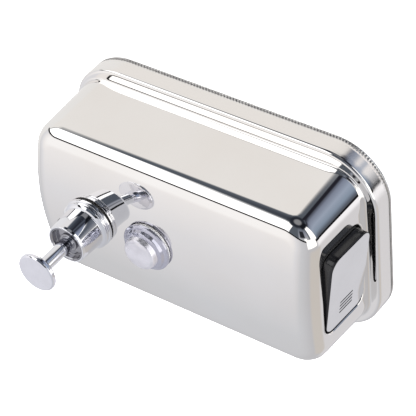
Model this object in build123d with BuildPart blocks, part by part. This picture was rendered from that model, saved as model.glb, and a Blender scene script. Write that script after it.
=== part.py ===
from build123d import *
from math import cos, radians, sin
import os

# Wall-mounted soap dispenser: a stamped steel tank with a push pump, a sight glass and a see-saw filler lid.
# Millimetres. The wall is the plane y = 0, -Y points at the user and +Z points up to the filler lid.
# The origin is the centre of the bracket's screw pattern. "Depth" is the distance from the wall, along -Y.

# ---------------------------------------------------------------- driving dimensions
SHEET = 0.8                                    # steel sheet of the tank
FIT = 0.05                                     # radial clearance of a running fit

SKIRT_W, SKIRT_H, SKIRT_R = 124.0, 200.0, 32.5  # rear skirt, the widest part
SKIRT_DEPTH = 15.5                             # depth of the skirt's front ledge
SKIRT_ROUND = 2.0                              # rounding of the skirt's front edge
CREASE_ROUND = 1.2                             # hollow rounding where the tank rises from the ledge

BAND_GAP = 0.4                                 # crimped band off the wall
BAND_SHEET = 0.6                               # sheet of the crimped band
BAND_DEPTH = 3.2                               # depth at which the band's legs end

REAR_DEPTH = 18.0                              # depth of the tank's rear section
REAR_W, REAR_H, REAR_R = 107.2, 185.2, 19.5
FRONT_DEPTH = 55.0                             # depth of the tank's front section
FRONT_W, FRONT_H, FRONT_R = 102.0, 182.4, 17.0
TOP_CROWN = 0.8                                # bulge of the top wall
BOTTOM_CROWN_REAR, BOTTOM_CROWN_FRONT = 4.0, 4.8  # bulge of the bottom wall
FACE_DEPTH = 69.2                              # depth of the front face on its centre line
FACE_DOME_R = 230.0                            # the face is bowed across its width
FACE_ROUND = 12.0                              # rounding round the front face

POCKET_W, POCKET_H, POCKET_R = 84.0, 110.0, 8.0  # recess in the back plate for the wall bracket
POCKET_DEPTH = 10.0
PLATE_DEPTH = 3.2                              # depth of the back plate's flat sheet

BRACKET_W, BRACKET_H, BRACKET_R, BRACKET_SHEET = 60.0, 92.0, 6.0, 1.5
SCREW_X, SCREW_Z, SCREW_R = 44.0, 76.0, 2.5    # wall screw pattern
TONGUE_W, TONGUE_RISE = 16.0, 14.0
TONGUE_SIDE_GAP, TONGUE_END_GAP = 0.4, 1.0     # clearances of the window that a hook is bent out of
TONGUE_FEET = (14.0, -34.0)                    # heights of the two hooks' feet
TONGUE_DEPTH = 7.2                             # depth of a hook's rear face
STRAP_W, STRAP_H, STRAP_SHEET = 30.0, 7.0, 0.8
STRAP_DEPTH = 6.0                              # depth of a strap's bridge
STRAP_FOOT, STRAP_BEND = 4.0, 1.0              # length of a strap's foot and run of its bend
STRAP_REST = 0.3                               # gap between a strap and its hook's foot

PUMP_Z = -54.0                                 # height of the pump's axis
FLANGE_R, FLANGE_FRONT = 15.6, 2.4
HOUSING_SEAT = 0.6                             # flange's rear face, out from the front face
GROOVE_R, GROOVE_REAR, GROOVE_FRONT = 14.9, 2.7, 3.2  # groove between the flange's two rings
COLLAR_RING_R, COLLAR_RING_REAR, COLLAR_RING_FRONT = 15.3, 3.4, 4.6
SHOULDER_R, SHOULDER = 14.2, 5.6
BARREL_REAR_R, BARREL_REAR = 13.1, 6.3         # the barrel tapers towards its front lip
BARREL_FRONT_R, BARREL_ROUND = 12.3, 21.4
HOUSING_TAIL_R, HOUSING_TAIL = 10.6, 14.0      # threaded tail inside the tank
HOUSING_BORE_R = 8.0
BARREL_FRONT = 22.2                            # barrel's front lip, out from the front face
LIP_OUTER_R, LIP_INNER_R, RECESS_R = 11.6, 10.5, 9.9
RECESS_FLOOR, RECESS_FLOOR_SHEET = 18.5, 2.0
BUSH_R, BUSH_REAR, BUSH_FRONT, BUSH_EDGE = 5.6, 15.0, 20.3, 0.4
STEM_SEAL_REAR = 13.2
STEM_R, STEM_FLARE, STEM_FLARE_LENGTH = 4.1, 0.5, 2.4
BUTTON_BACK, BUTTON_FACE, BUTTON_R = 45.0, 49.0, 12.0
BUTTON_CHAMFER, BUTTON_EDGE, BUTTON_EDGE_IN = 1.2, 0.9, 0.5
SPIGOT_R, SPIGOT = 2.0, 2.0                    # the stem's spigot in the button
CYLINDER_R, BORE_R = 8.0, 6.8
CYLINDER_FRONT, CYLINDER_REAR = 4.0, -32.0
PISTON_FRONT, PISTON_REAR, PISTON_R = 1.0, -5.0, 6.3
PISTON_CORE_R, PISTON_CORE_END = 2.5, 0.5
SEAL_FRONT, SEAL_REAR, SEAL_ROOT_R = -1.2, -3.2, 5.0
SPRING_R, SPRING_WIRE_R, SPRING_TURNS, SPRING_SLACK = 5.2, 0.45, 8, 0.3
NOZZLE_OUT, NOZZLE_R, NOZZLE_TIP = 9.6, 2.8, 14.4  # outlet under the barrel
NOZZLE_BORE_R, NOZZLE_SEAT = 1.9, 0.6
INTAKE_OUT = -39.0                             # intake valve's axis, behind the front face
INTAKE_R, INTAKE_TOP, INTAKE_BOTTOM = 7.0, -46.0, -70.0
INTAKE_SOCKET_R, INTAKE_SOCKET_FRONT = 9.8, -26.0
VALVE_SEAT_Z, VALVE_BORE_R, VALVE_CHAMBER_R = -61.0, 2.6, 4.2
VALVE_PORT_R = 3.8                             # port between the cylinder and the valve chamber
BALL_R, BALL_OFF_SEAT = 3.2, 0.05
DIP_TUBE_R, DIP_TUBE_BORE_R, DIP_TUBE_END = 3.0, 2.2, -91.0
DIP_SOCKET_Z = -65.0
PUMP_HOLE_R, PUMP_NUT_R, NUT_THICK = 11.0, 16.0, 5.2
WASHER_BACK, WASHER_IN = -2.4, 1.0             # rubber washers behind the sheet, drawn in from their nuts
GASKET_REACH = 2.0                             # how far a gasket's blank reaches in past the bowed face
HOUSING_GASKET_IN, GLASS_GASKET_IN = 0.8, 0.8  # gaskets drawn in from the flanges that they seal

GLASS_Z = -14.0                                # height of the sight glass
GLASS_SEAT = 0.6
GLASS_STEPS = ((15.0, 2.8), (12.9, 5.4), (10.3, 9.9))  # radius and front of each step
GLASS_CHAMFER, LENS_CHAMFER, LENS_DRAFT = 0.5, 1.0, 0.3
GLASS_TAIL_R, GLASS_TAIL = 9.2, -11.0
GLASS_BORE_R, GLASS_BORE_FRONT = 6.5, 6.0
GLASS_HOLE_R, GLASS_NUT_R = 9.5, 14.0

OPENING_W, OPENING_D, OPENING_R = 58.4, 36.8, 8.0  # filler opening in the top wall
OPENING_DEPTH = 39.0                           # depth of its centre
OPENING_HEIGHT = 92.75                         # top wall's height there
TOP_SLOPE = 2.6                                # degrees that the top wall falls towards the front
COLLAR_WALL, COLLAR_DROP = 2.0, 16.0
COLLAR_FLANGE, COLLAR_FLANGE_TOP, COLLAR_FLANGE_SHEET = 6.0, -1.9, 1.3
COLLAR_GASKET_IN = 0.5
LID_W, LID_D, LID_R = 56.4, 34.8, 7.0
LID_PROUD, LID_THICK, LID_SHEET = 0.3, 6.0, 1.4
LID_EDGE = 0.6
HINGE_X, HINGE_DROP, HINGE_PIN_R, HINGE_PIN_END = 18.0, -3.0, 1.25, 0.4
LID_REST_ANGLE = 7.5                           # the far end stands proud at rest
LINER_IN = 0.15                                # the liner is drawn in from the cover's edge
PLUG_X, PLUG_W, PLUG_D, PLUG_R = -7.0, 38.0, 29.0, 5.0
PLUG_WALL, PLUG_FLOOR = 1.6, -8.6
LIP_TOP, LIP_BOTTOM, LIP_OUT = -6.6, -8.0, 2.4
GRIP_X, GRIP_PITCH, GRIP_COUNT = 14.8, 2.6, 4  # grip grooves at the press end of the lid
GRIP_LENGTH, GRIP_WIDTH, GRIP_CUT = 12.0, 1.1, 0.5

FAR = 40.0                                     # reach of cutting solids
TINY = 0.01                                    # tolerance when picking edges by position
REACH = 5.0                                    # how far the tank's blank runs past both ends


# ---------------------------------------------------------------- shared geometry
def at_depth(depth):
    """Plane parallel to the wall, with local x to the right and local y up."""
    return Plane.XZ.offset(depth)


def out_from_face(distance):
    """Plane parallel to the wall, measured outwards from the front face's centre line."""
    return at_depth(FACE_DEPTH + distance)


def axis_plane(height, x=0.0):
    """Upright plane through a Y-parallel axis: local x is the radius, local y runs towards the user."""
    return Plane(origin=(x, -FACE_DEPTH, height), x_dir=(1, 0, 0), z_dir=(0, 0, -1))


def skirt_outline(inset, mode=Mode.ADD):
    """The skirt's rounded outline, drawn in by an inset."""
    RectangleRounded(SKIRT_W - 2 * inset, SKIRT_H - 2 * inset, SKIRT_R - inset, mode=mode)


def skirt_ring(depth, thickness, inset, wall):
    """Ring that follows the skirt's outline, for use inside a part."""
    with BuildSketch(at_depth(depth)) as ring:
        skirt_outline(inset)
        skirt_outline(inset + wall, Mode.SUBTRACT)
    extrude(ring.sketch, amount=thickness)


def tank_section(depth, inset):
    """One cross-section of the tank at a depth, interpolated between the rear and front sections."""
    share = (depth - REAR_DEPTH) / (FRONT_DEPTH - REAR_DEPTH)
    half_w = (REAR_W + share * (FRONT_W - REAR_W)) / 2 - inset
    half_h = (REAR_H + share * (FRONT_H - REAR_H)) / 2 - inset
    radius = REAR_R + share * (FRONT_R - REAR_R) - inset
    bottom_crown = BOTTOM_CROWN_REAR + share * (BOTTOM_CROWN_FRONT - BOTTOM_CROWN_REAR)
    with BuildSketch(at_depth(depth)) as section:
        with BuildLine():
            Line((-half_w, -half_h), (-half_w, half_h))
            ThreePointArc((-half_w, half_h), (0, half_h + TOP_CROWN), (half_w, half_h))
            Line((half_w, half_h), (half_w, -half_h))
            ThreePointArc((half_w, -half_h), (0, -half_h - bottom_crown), (-half_w, -half_h))
        make_face()
        fillet(section.vertices(), radius)
    return section.sketch


def tank_form(inset):
    """Solid of the tank's raised part, drawn in by an inset: tapered walls and a bowed, rounded front."""
    rear = tank_section(SKIRT_DEPTH - REACH, inset)
    front = tank_section(FACE_DEPTH + REACH, inset)
    with BuildPart() as form:
        loft(sections=[rear.faces()[0], front.faces()[0]], ruled=True)
        with BuildSketch(Plane.XY.offset(-SKIRT_H)):
            with Locations((0, FACE_DOME_R - FACE_DEPTH)):
                Circle(FACE_DOME_R - inset)
        extrude(amount=2 * SKIRT_H, mode=Mode.INTERSECT)
        front_edges = form.faces().sort_by(Axis.Y)[0].edges()
        fillet(front_edges, FACE_ROUND - inset)
    return form.part


def turned(height, points):
    """Turned piece on a Y-parallel axis, from (radius, distance out from the face) points."""
    with BuildSketch(axis_plane(height)) as profile:
        with BuildLine():
            Polyline(*points, close=True)
        make_face()
    revolve(profile.sketch, axis=Axis((0, 0, height), (0, 1, 0)))


def turned_ring(height, inner, outer, rear, front):
    """Plain turned ring between two radii and two distances out from the face."""
    turned(height, ((inner, rear), (outer, rear), (outer, front), (inner, front)))


def lid_block(plane, low, high, width, depth, radius, mode=Mode.ADD, shift=0.0):
    """Rounded block between two heights of a lid plane."""
    with BuildSketch(plane.offset(low)) as block:
        with Locations((shift, 0)):
            RectangleRounded(width, depth, radius)
    extrude(block.sketch, amount=high - low, mode=mode)


def export(part, name):
    part.label = name
    export_step(part, "parts/" + name + ".step")


tank_outside = tank_form(0)
tank_inside = tank_form(SHEET)

lid_plane = Plane(
    origin=(0, -OPENING_DEPTH, OPENING_HEIGHT),
    x_dir=(1, 0, 0),
    z_dir=(0, -sin(radians(TOP_SLOPE)), cos(radians(TOP_SLOPE))),
)
hinge_point = lid_plane.from_local_coords((HINGE_X, 0, HINGE_DROP))
hinge_axis = Axis(hinge_point, lid_plane.y_dir)
rest_x = lid_plane.x_dir.rotate(hinge_axis, LID_REST_ANGLE)
rest_z = lid_plane.z_dir.rotate(hinge_axis, LID_REST_ANGLE)
rest_plane = Plane(origin=hinge_point - rest_x * HINGE_X - rest_z * HINGE_DROP, x_dir=rest_x, z_dir=rest_z)

os.makedirs("parts", exist_ok=True)


# ---------------------------------------------------------------- wall bracket
with BuildPart() as wall_bracket:
    with BuildSketch(at_depth(0)):
        RectangleRounded(BRACKET_W, BRACKET_H, BRACKET_R)
    extrude(amount=BRACKET_SHEET)
    with BuildSketch(at_depth(0)):
        with GridLocations(SCREW_X, SCREW_Z, 2, 2):
            Circle(SCREW_R)
        for foot in TONGUE_FEET:
            with Locations((0, foot + BRACKET_SHEET + (TONGUE_RISE + TONGUE_END_GAP) / 2)):
                Rectangle(TONGUE_W + 2 * TONGUE_SIDE_GAP, TONGUE_RISE + TONGUE_END_GAP)
    extrude(amount=BRACKET_SHEET, mode=Mode.SUBTRACT)
    for foot in TONGUE_FEET:
        with BuildSketch(Plane.YZ.offset(-TONGUE_W / 2)):
            with BuildLine():
                Polyline(
                    (0, foot),
                    (-TONGUE_DEPTH - BRACKET_SHEET, foot),
                    (-TONGUE_DEPTH - BRACKET_SHEET, foot + TONGUE_RISE),
                    (-TONGUE_DEPTH, foot + TONGUE_RISE),
                    (-TONGUE_DEPTH, foot + BRACKET_SHEET),
                    (0, foot + BRACKET_SHEET),
                    close=True,
                )
            make_face()
        extrude(amount=TONGUE_W)
export(wall_bracket.part, "wall_bracket")


# ---------------------------------------------------------------- tank
with BuildPart() as body_shell:
    with BuildSketch(at_depth(BAND_DEPTH)):
        skirt_outline(0)
    extrude(amount=SKIRT_DEPTH - BAND_DEPTH)
    ledge_edges = body_shell.faces().sort_by(Axis.Y)[0].edges()
    fillet(ledge_edges, SKIRT_ROUND)
    add(tank_outside)
    crease_edges = body_shell.edges(Select.LAST).filter_by_position(
        Axis.Y, -SKIRT_DEPTH - TINY, -SKIRT_DEPTH + TINY)
    fillet(crease_edges, CREASE_ROUND)
    with BuildSketch(at_depth(BAND_DEPTH)):
        skirt_outline(SHEET)
    extrude(amount=SKIRT_DEPTH - BAND_DEPTH - SHEET, mode=Mode.SUBTRACT)
    add(tank_inside, mode=Mode.SUBTRACT)
    skirt_ring(BAND_GAP + BAND_SHEET, BAND_DEPTH - BAND_GAP - BAND_SHEET + SHEET, BAND_SHEET, SHEET)
    with BuildSketch(at_depth(FRONT_DEPTH)):
        with Locations((0, PUMP_Z)):
            Circle(PUMP_HOLE_R)
        with Locations((0, GLASS_Z)):
            Circle(GLASS_HOLE_R)
    extrude(amount=FAR, mode=Mode.SUBTRACT)
    lid_block(lid_plane, -FAR / 4, FAR / 4, OPENING_W, OPENING_D, OPENING_R, Mode.SUBTRACT)
export(body_shell.part, "body_shell")

rim_inset = BAND_SHEET + SHEET
with BuildPart() as back_plate:
    skirt_ring(BAND_GAP + BAND_SHEET, PLATE_DEPTH - BAND_GAP - BAND_SHEET + SHEET, rim_inset, SHEET)
    with BuildSketch(at_depth(PLATE_DEPTH)):
        skirt_outline(rim_inset)
    extrude(amount=SHEET)
    with BuildSketch(at_depth(PLATE_DEPTH)):
        RectangleRounded(POCKET_W, POCKET_H, POCKET_R)
    extrude(amount=POCKET_DEPTH - PLATE_DEPTH)
    with BuildSketch(at_depth(PLATE_DEPTH)):
        RectangleRounded(POCKET_W - 2 * SHEET, POCKET_H - 2 * SHEET, POCKET_R - SHEET)
    extrude(amount=POCKET_DEPTH - PLATE_DEPTH - SHEET, mode=Mode.SUBTRACT)
export(back_plate.part, "back_plate")

with BuildPart() as seam_band:
    skirt_ring(BAND_GAP, BAND_DEPTH - BAND_GAP, 0, rim_inset + SHEET + BAND_SHEET)
    with BuildSketch(at_depth(BAND_GAP + BAND_SHEET)):
        skirt_outline(BAND_SHEET)
        skirt_outline(rim_inset + SHEET, Mode.SUBTRACT)
    extrude(amount=BAND_DEPTH, mode=Mode.SUBTRACT)
export(seam_band.part, "seam_band")

floor_depth = POCKET_DEPTH - SHEET
foot_top = floor_depth - STRAP_SHEET
half_strap = STRAP_W / 2
foot_end = half_strap - STRAP_FOOT
bridge_end = foot_end - STRAP_BEND
with BuildPart() as hanger_straps:
    for foot in TONGUE_FEET:
        low = foot + BRACKET_SHEET + STRAP_REST
        with BuildSketch(Plane.XY.offset(low)):
            with BuildLine():
                Polyline(
                    (-half_strap, -floor_depth),
                    (-half_strap, -foot_top),
                    (-foot_end, -foot_top),
                    (-bridge_end, -STRAP_DEPTH),
                    (bridge_end, -STRAP_DEPTH),
                    (foot_end, -foot_top),
                    (half_strap, -foot_top),
                    (half_strap, -floor_depth),
                    (bridge_end, -floor_depth),
                    (bridge_end - STRAP_BEND, -STRAP_DEPTH - STRAP_SHEET),
                    (-bridge_end + STRAP_BEND, -STRAP_DEPTH - STRAP_SHEET),
                    (-bridge_end, -floor_depth),
                    close=True,
                )
            make_face()
        extrude(amount=STRAP_H)
export(hanger_straps.part, "hanger_straps")


# ---------------------------------------------------------------- pump, fixed pieces
with BuildPart() as pump_housing:
    turned(PUMP_Z, (
        (HOUSING_BORE_R, -HOUSING_TAIL),
        (HOUSING_TAIL_R, -HOUSING_TAIL),
        (HOUSING_TAIL_R, HOUSING_SEAT),
        (FLANGE_R, HOUSING_SEAT),
        (FLANGE_R, FLANGE_FRONT),
        (GROOVE_R, GROOVE_REAR),
        (GROOVE_R, GROOVE_FRONT),
        (COLLAR_RING_R, COLLAR_RING_REAR),
        (COLLAR_RING_R, COLLAR_RING_FRONT),
        (SHOULDER_R, SHOULDER),
        (BARREL_REAR_R, BARREL_REAR),
        (BARREL_FRONT_R, BARREL_ROUND),
        (LIP_OUTER_R, BARREL_FRONT),
        (LIP_INNER_R, BARREL_FRONT),
        (RECESS_R, BARREL_FRONT - LIP_INNER_R + RECESS_R),
        (RECESS_R, RECESS_FLOOR),
        (BUSH_R, RECESS_FLOOR),
        (BUSH_R, RECESS_FLOOR - RECESS_FLOOR_SHEET),
        (HOUSING_BORE_R, RECESS_FLOOR - RECESS_FLOOR_SHEET),
    ))
    with BuildSketch(Plane.XY.offset(PUMP_Z)):
        with Locations((0, -FACE_DEPTH - NOZZLE_OUT)):
            Circle(NOZZLE_R)
    extrude(amount=-FLANGE_R, mode=Mode.SUBTRACT)
export(pump_housing.part, "pump_housing")

with BuildPart() as housing_gasket:
    turned_ring(PUMP_Z, PUMP_HOLE_R, FLANGE_R - HOUSING_GASKET_IN, -GASKET_REACH, HOUSING_SEAT)
    add(tank_outside, mode=Mode.SUBTRACT)
export(housing_gasket.part, "housing_gasket")

with BuildPart() as pump_washer:
    turned_ring(PUMP_Z, HOUSING_TAIL_R, PUMP_NUT_R - WASHER_IN, WASHER_BACK, HOUSING_SEAT)
    add(tank_inside, mode=Mode.INTERSECT)
export(pump_washer.part, "pump_washer")

with BuildPart() as pump_nut:
    with BuildSketch(out_from_face(WASHER_BACK - NUT_THICK)):
        with Locations((0, PUMP_Z)):
            RegularPolygon(PUMP_NUT_R, 6)
            Circle(HOUSING_TAIL_R, mode=Mode.SUBTRACT)
    extrude(amount=NUT_THICK)
export(pump_nut.part, "pump_nut")

with BuildPart() as guide_bush:
    turned(PUMP_Z, (
        (STEM_R + FIT, BUSH_REAR),
        (HOUSING_BORE_R, BUSH_REAR),
        (HOUSING_BORE_R, RECESS_FLOOR - RECESS_FLOOR_SHEET),
        (BUSH_R, RECESS_FLOOR - RECESS_FLOOR_SHEET),
        (BUSH_R, BUSH_FRONT - BUSH_EDGE),
        (BUSH_R - BUSH_EDGE, BUSH_FRONT),
        (STEM_R + FIT, BUSH_FRONT),
    ))
export(guide_bush.part, "guide_bush")

with BuildPart() as stem_seal:
    turned_ring(PUMP_Z, STEM_R + FIT, HOUSING_BORE_R, STEM_SEAL_REAR, BUSH_REAR)
export(stem_seal.part, "stem_seal")

with BuildPart() as pump_cylinder:
    turned_ring(PUMP_Z, BORE_R, CYLINDER_R, CYLINDER_REAR, CYLINDER_FRONT)
export(pump_cylinder.part, "pump_cylinder")

with BuildPart() as outlet_nozzle:
    with BuildSketch(Plane.XY.offset(PUMP_Z - HOUSING_BORE_R - NOZZLE_SEAT)):
        with Locations((0, -FACE_DEPTH - NOZZLE_OUT)):
            Circle(NOZZLE_R)
            Circle(NOZZLE_BORE_R, mode=Mode.SUBTRACT)
    extrude(amount=HOUSING_BORE_R + NOZZLE_SEAT - NOZZLE_TIP)
export(outlet_nozzle.part, "outlet_nozzle")

with BuildPart() as intake_valve:
    with BuildSketch(Plane.XY.offset(INTAKE_BOTTOM)):
        with Locations((0, -FACE_DEPTH - INTAKE_OUT)):
            Circle(INTAKE_R)
    extrude(amount=INTAKE_TOP - INTAKE_BOTTOM)
    turned(PUMP_Z, (
        (0, INTAKE_OUT),
        (INTAKE_SOCKET_R, INTAKE_OUT),
        (INTAKE_SOCKET_R, INTAKE_SOCKET_FRONT),
        (0, INTAKE_SOCKET_FRONT),
    ))
    with BuildSketch(out_from_face(INTAKE_SOCKET_FRONT)):
        with Locations((0, PUMP_Z)):
            Circle(CYLINDER_R)
    extrude(amount=CYLINDER_REAR - INTAKE_SOCKET_FRONT, mode=Mode.SUBTRACT)
    with BuildSketch(out_from_face(CYLINDER_REAR)):
        with Locations((0, PUMP_Z)):
            Circle(VALVE_PORT_R)
    extrude(amount=INTAKE_OUT - CYLINDER_REAR, mode=Mode.SUBTRACT)
    for low, high, radius in (
        (VALVE_SEAT_Z, PUMP_Z + VALVE_CHAMBER_R, VALVE_CHAMBER_R),
        (DIP_SOCKET_Z, VALVE_SEAT_Z, VALVE_BORE_R),
        (INTAKE_BOTTOM, DIP_SOCKET_Z, DIP_TUBE_R),
    ):
        with BuildSketch(Plane.XY.offset(low)):
            with Locations((0, -FACE_DEPTH - INTAKE_OUT)):
                Circle(radius)
        extrude(amount=high - low, mode=Mode.SUBTRACT)
export(intake_valve.part, "intake_valve")

with BuildPart() as dip_tube:
    with BuildSketch(Plane.XY.offset(DIP_TUBE_END)):
        with Locations((0, -FACE_DEPTH - INTAKE_OUT)):
            Circle(DIP_TUBE_R)
            Circle(DIP_TUBE_BORE_R, mode=Mode.SUBTRACT)
    extrude(amount=DIP_SOCKET_Z - DIP_TUBE_END)
export(dip_tube.part, "dip_tube")

spring_rear = CYLINDER_REAR + SPRING_WIRE_R
spring_length = PISTON_REAR - CYLINDER_REAR - 2 * SPRING_WIRE_R - SPRING_SLACK
with BuildPart() as return_spring:
    with BuildLine():
        coil = Helix(spring_length / SPRING_TURNS, spring_length, SPRING_R,
                     center=(0, -FACE_DEPTH - spring_rear, PUMP_Z), direction=(0, -1, 0))
    with BuildSketch(Plane(origin=coil @ 0, z_dir=coil % 0)):
        Circle(SPRING_WIRE_R)
    sweep(path=coil, is_frenet=True)
export(return_spring.part, "return_spring")


# ---------------------------------------------------------------- pump, plunger
with BuildPart() as plunger_stem:
    turned(PUMP_Z, (
        (0, PISTON_REAR - PISTON_CORE_END),
        (PISTON_CORE_R, PISTON_REAR - PISTON_CORE_END),
        (PISTON_CORE_R, PISTON_FRONT),
        (STEM_R, PISTON_FRONT),
        (STEM_R, BUTTON_BACK - STEM_FLARE_LENGTH),
        (STEM_R + STEM_FLARE, BUTTON_BACK),
        (SPIGOT_R, BUTTON_BACK),
        (SPIGOT_R, BUTTON_BACK + SPIGOT),
        (0, BUTTON_BACK + SPIGOT),
    ))
export(plunger_stem.part, "plunger_stem")

with BuildPart() as push_button:
    turned(PUMP_Z, (
        (SPIGOT_R, BUTTON_BACK),
        (BUTTON_R - BUTTON_CHAMFER, BUTTON_BACK),
        (BUTTON_R, BUTTON_BACK + BUTTON_CHAMFER),
        (BUTTON_R, BUTTON_FACE - BUTTON_EDGE),
        (BUTTON_R - BUTTON_EDGE_IN, BUTTON_FACE - BUTTON_EDGE + BUTTON_EDGE_IN),
        (BUTTON_R - BUTTON_CHAMFER, BUTTON_FACE),
        (0, BUTTON_FACE),
        (0, BUTTON_BACK + SPIGOT),
        (SPIGOT_R, BUTTON_BACK + SPIGOT),
    ))
export(push_button.part, "push_button")

with BuildPart() as piston:
    turned(PUMP_Z, (
        (PISTON_CORE_R, PISTON_REAR),
        (PISTON_R, PISTON_REAR),
        (PISTON_R, SEAL_REAR),
        (SEAL_ROOT_R, SEAL_REAR),
        (SEAL_ROOT_R, SEAL_FRONT),
        (PISTON_R, SEAL_FRONT),
        (PISTON_R, PISTON_FRONT),
        (PISTON_CORE_R, PISTON_FRONT),
    ))
export(piston.part, "piston")

with BuildPart() as piston_seal:
    turned_ring(PUMP_Z, SEAL_ROOT_R, BORE_R - FIT, SEAL_REAR, SEAL_FRONT)
export(piston_seal.part, "piston_seal")

ball_height = VALVE_SEAT_Z + (BALL_R**2 - VALVE_BORE_R**2) ** 0.5 + BALL_OFF_SEAT
with BuildPart() as inlet_ball:
    with Locations((0, -FACE_DEPTH - INTAKE_OUT, ball_height)):
        Sphere(BALL_R)
export(inlet_ball.part, "inlet_ball")


# ---------------------------------------------------------------- sight glass
(glass_flange_r, glass_flange), (glass_step_r, glass_step), (lens_r, lens_front) = GLASS_STEPS
with BuildPart() as sight_glass:
    turned(GLASS_Z, (
        (0, GLASS_BORE_FRONT),
        (GLASS_BORE_R, GLASS_BORE_FRONT),
        (GLASS_BORE_R, GLASS_TAIL),
        (GLASS_TAIL_R, GLASS_TAIL),
        (GLASS_TAIL_R, GLASS_SEAT),
        (glass_flange_r, GLASS_SEAT),
        (glass_flange_r, glass_flange - GLASS_CHAMFER),
        (glass_flange_r - GLASS_CHAMFER, glass_flange),
        (glass_step_r, glass_flange),
        (glass_step_r, glass_step - GLASS_CHAMFER),
        (glass_step_r - GLASS_CHAMFER, glass_step),
        (lens_r + LENS_DRAFT, glass_step),
        (lens_r, lens_front - LENS_CHAMFER),
        (lens_r - LENS_CHAMFER, lens_front),
        (0, lens_front),
    ))
export(sight_glass.part, "sight_glass")

with BuildPart() as sight_gasket:
    turned_ring(GLASS_Z, GLASS_HOLE_R, glass_flange_r - GLASS_GASKET_IN, -GASKET_REACH, GLASS_SEAT)
    add(tank_outside, mode=Mode.SUBTRACT)
export(sight_gasket.part, "sight_gasket")

with BuildPart() as sight_washer:
    turned_ring(GLASS_Z, GLASS_TAIL_R, GLASS_NUT_R - WASHER_IN, WASHER_BACK, GLASS_SEAT)
    add(tank_inside, mode=Mode.INTERSECT)
export(sight_washer.part, "sight_washer")

with BuildPart() as sight_nut:
    with BuildSketch(out_from_face(WASHER_BACK - NUT_THICK)):
        with Locations((0, GLASS_Z)):
            RegularPolygon(GLASS_NUT_R, 6)
            Circle(GLASS_TAIL_R, mode=Mode.SUBTRACT)
    extrude(amount=NUT_THICK)
export(sight_nut.part, "sight_nut")


# ---------------------------------------------------------------- filler collar
collar_w, collar_d, collar_r = (
    OPENING_W + 2 * COLLAR_WALL, OPENING_D + 2 * COLLAR_WALL, OPENING_R + COLLAR_WALL)
flange_w, flange_d, flange_r = (
    OPENING_W + 2 * COLLAR_FLANGE, OPENING_D + 2 * COLLAR_FLANGE, OPENING_R + COLLAR_FLANGE)
pin_length = OPENING_D + 2 * COLLAR_WALL - 2 * HINGE_PIN_END
with BuildPart() as filler_collar:
    lid_block(lid_plane, -COLLAR_DROP, FAR / 4, collar_w, collar_d, collar_r)
    lid_block(lid_plane, COLLAR_FLANGE_TOP - COLLAR_FLANGE_SHEET, COLLAR_FLANGE_TOP,
              flange_w, flange_d, flange_r)
    lid_block(lid_plane, -FAR, FAR, OPENING_W, OPENING_D, OPENING_R, Mode.SUBTRACT)
    add(tank_inside, mode=Mode.INTERSECT)
    with BuildSketch(Plane(origin=hinge_point, x_dir=lid_plane.x_dir, z_dir=lid_plane.y_dir)):
        Circle(HINGE_PIN_R)
    extrude(amount=pin_length / 2, both=True, mode=Mode.SUBTRACT)
export(filler_collar.part, "filler_collar")

with BuildPart() as collar_gasket:
    lid_block(lid_plane, COLLAR_FLANGE_TOP, FAR / 4, flange_w - 2 * COLLAR_GASKET_IN,
              flange_d - 2 * COLLAR_GASKET_IN, flange_r - COLLAR_GASKET_IN)
    lid_block(lid_plane, -FAR, FAR, collar_w, collar_d, collar_r, Mode.SUBTRACT)
    add(tank_inside, mode=Mode.INTERSECT)
export(collar_gasket.part, "collar_gasket")

with BuildPart() as hinge_pin:
    with BuildSketch(Plane(origin=hinge_point, x_dir=lid_plane.x_dir, z_dir=lid_plane.y_dir)):
        Circle(HINGE_PIN_R)
    extrude(amount=pin_length / 2, both=True)
export(hinge_pin.part, "hinge_pin")


# ---------------------------------------------------------------- lid
hinge_plane = Plane(origin=hinge_point, x_dir=rest_plane.x_dir, z_dir=rest_plane.y_dir)
lid_low = LID_PROUD - LID_THICK
cover_low = LID_PROUD - LID_SHEET
with BuildPart() as lid_cover:
    lid_block(rest_plane, cover_low, LID_PROUD, LID_W, LID_D, LID_R)
    top_edges = lid_cover.edges().filter_by_position(
        Axis(rest_plane.origin, rest_plane.z_dir), LID_PROUD - TINY, LID_PROUD + TINY)
    fillet(top_edges, LID_EDGE)
    with BuildSketch(rest_plane.offset(LID_PROUD - GRIP_CUT)):
        for number in range(GRIP_COUNT):
            with Locations((GRIP_X + (number - (GRIP_COUNT - 1) / 2) * GRIP_PITCH, 0)):
                SlotOverall(GRIP_LENGTH, GRIP_WIDTH, rotation=90)
    extrude(amount=GRIP_CUT, mode=Mode.SUBTRACT)
export(lid_cover.part, "lid_cover")

with BuildPart() as lid_liner:
    lid_block(rest_plane, lid_low, cover_low, LID_W - 2 * LINER_IN, LID_D - 2 * LINER_IN, LID_R - LINER_IN)
    lid_block(rest_plane, PLUG_FLOOR, lid_low, PLUG_W, PLUG_D, PLUG_R, shift=PLUG_X)
    lid_block(rest_plane, PLUG_FLOOR, lid_low, PLUG_W - 2 * PLUG_WALL, PLUG_D - 2 * PLUG_WALL,
              PLUG_R - PLUG_WALL, Mode.SUBTRACT, PLUG_X)
    with BuildSketch(hinge_plane):
        Circle(HINGE_PIN_R + FIT)
    extrude(amount=LID_D, both=True, mode=Mode.SUBTRACT)
export(lid_liner.part, "lid_liner")

with BuildPart() as lid_gasket:
    lid_block(rest_plane, LIP_BOTTOM, LIP_TOP, PLUG_W + 2 * LIP_OUT, PLUG_D + 2 * LIP_OUT,
              PLUG_R + LIP_OUT, shift=PLUG_X)
    lid_block(rest_plane, LIP_BOTTOM, LIP_TOP, PLUG_W, PLUG_D, PLUG_R, Mode.SUBTRACT, PLUG_X)
export(lid_gasket.part, "lid_gasket")
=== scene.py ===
from math import atan2, cos, pi, radians, sin, sqrt

import bmesh
import bpy
from mathutils import Matrix, Vector


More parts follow.
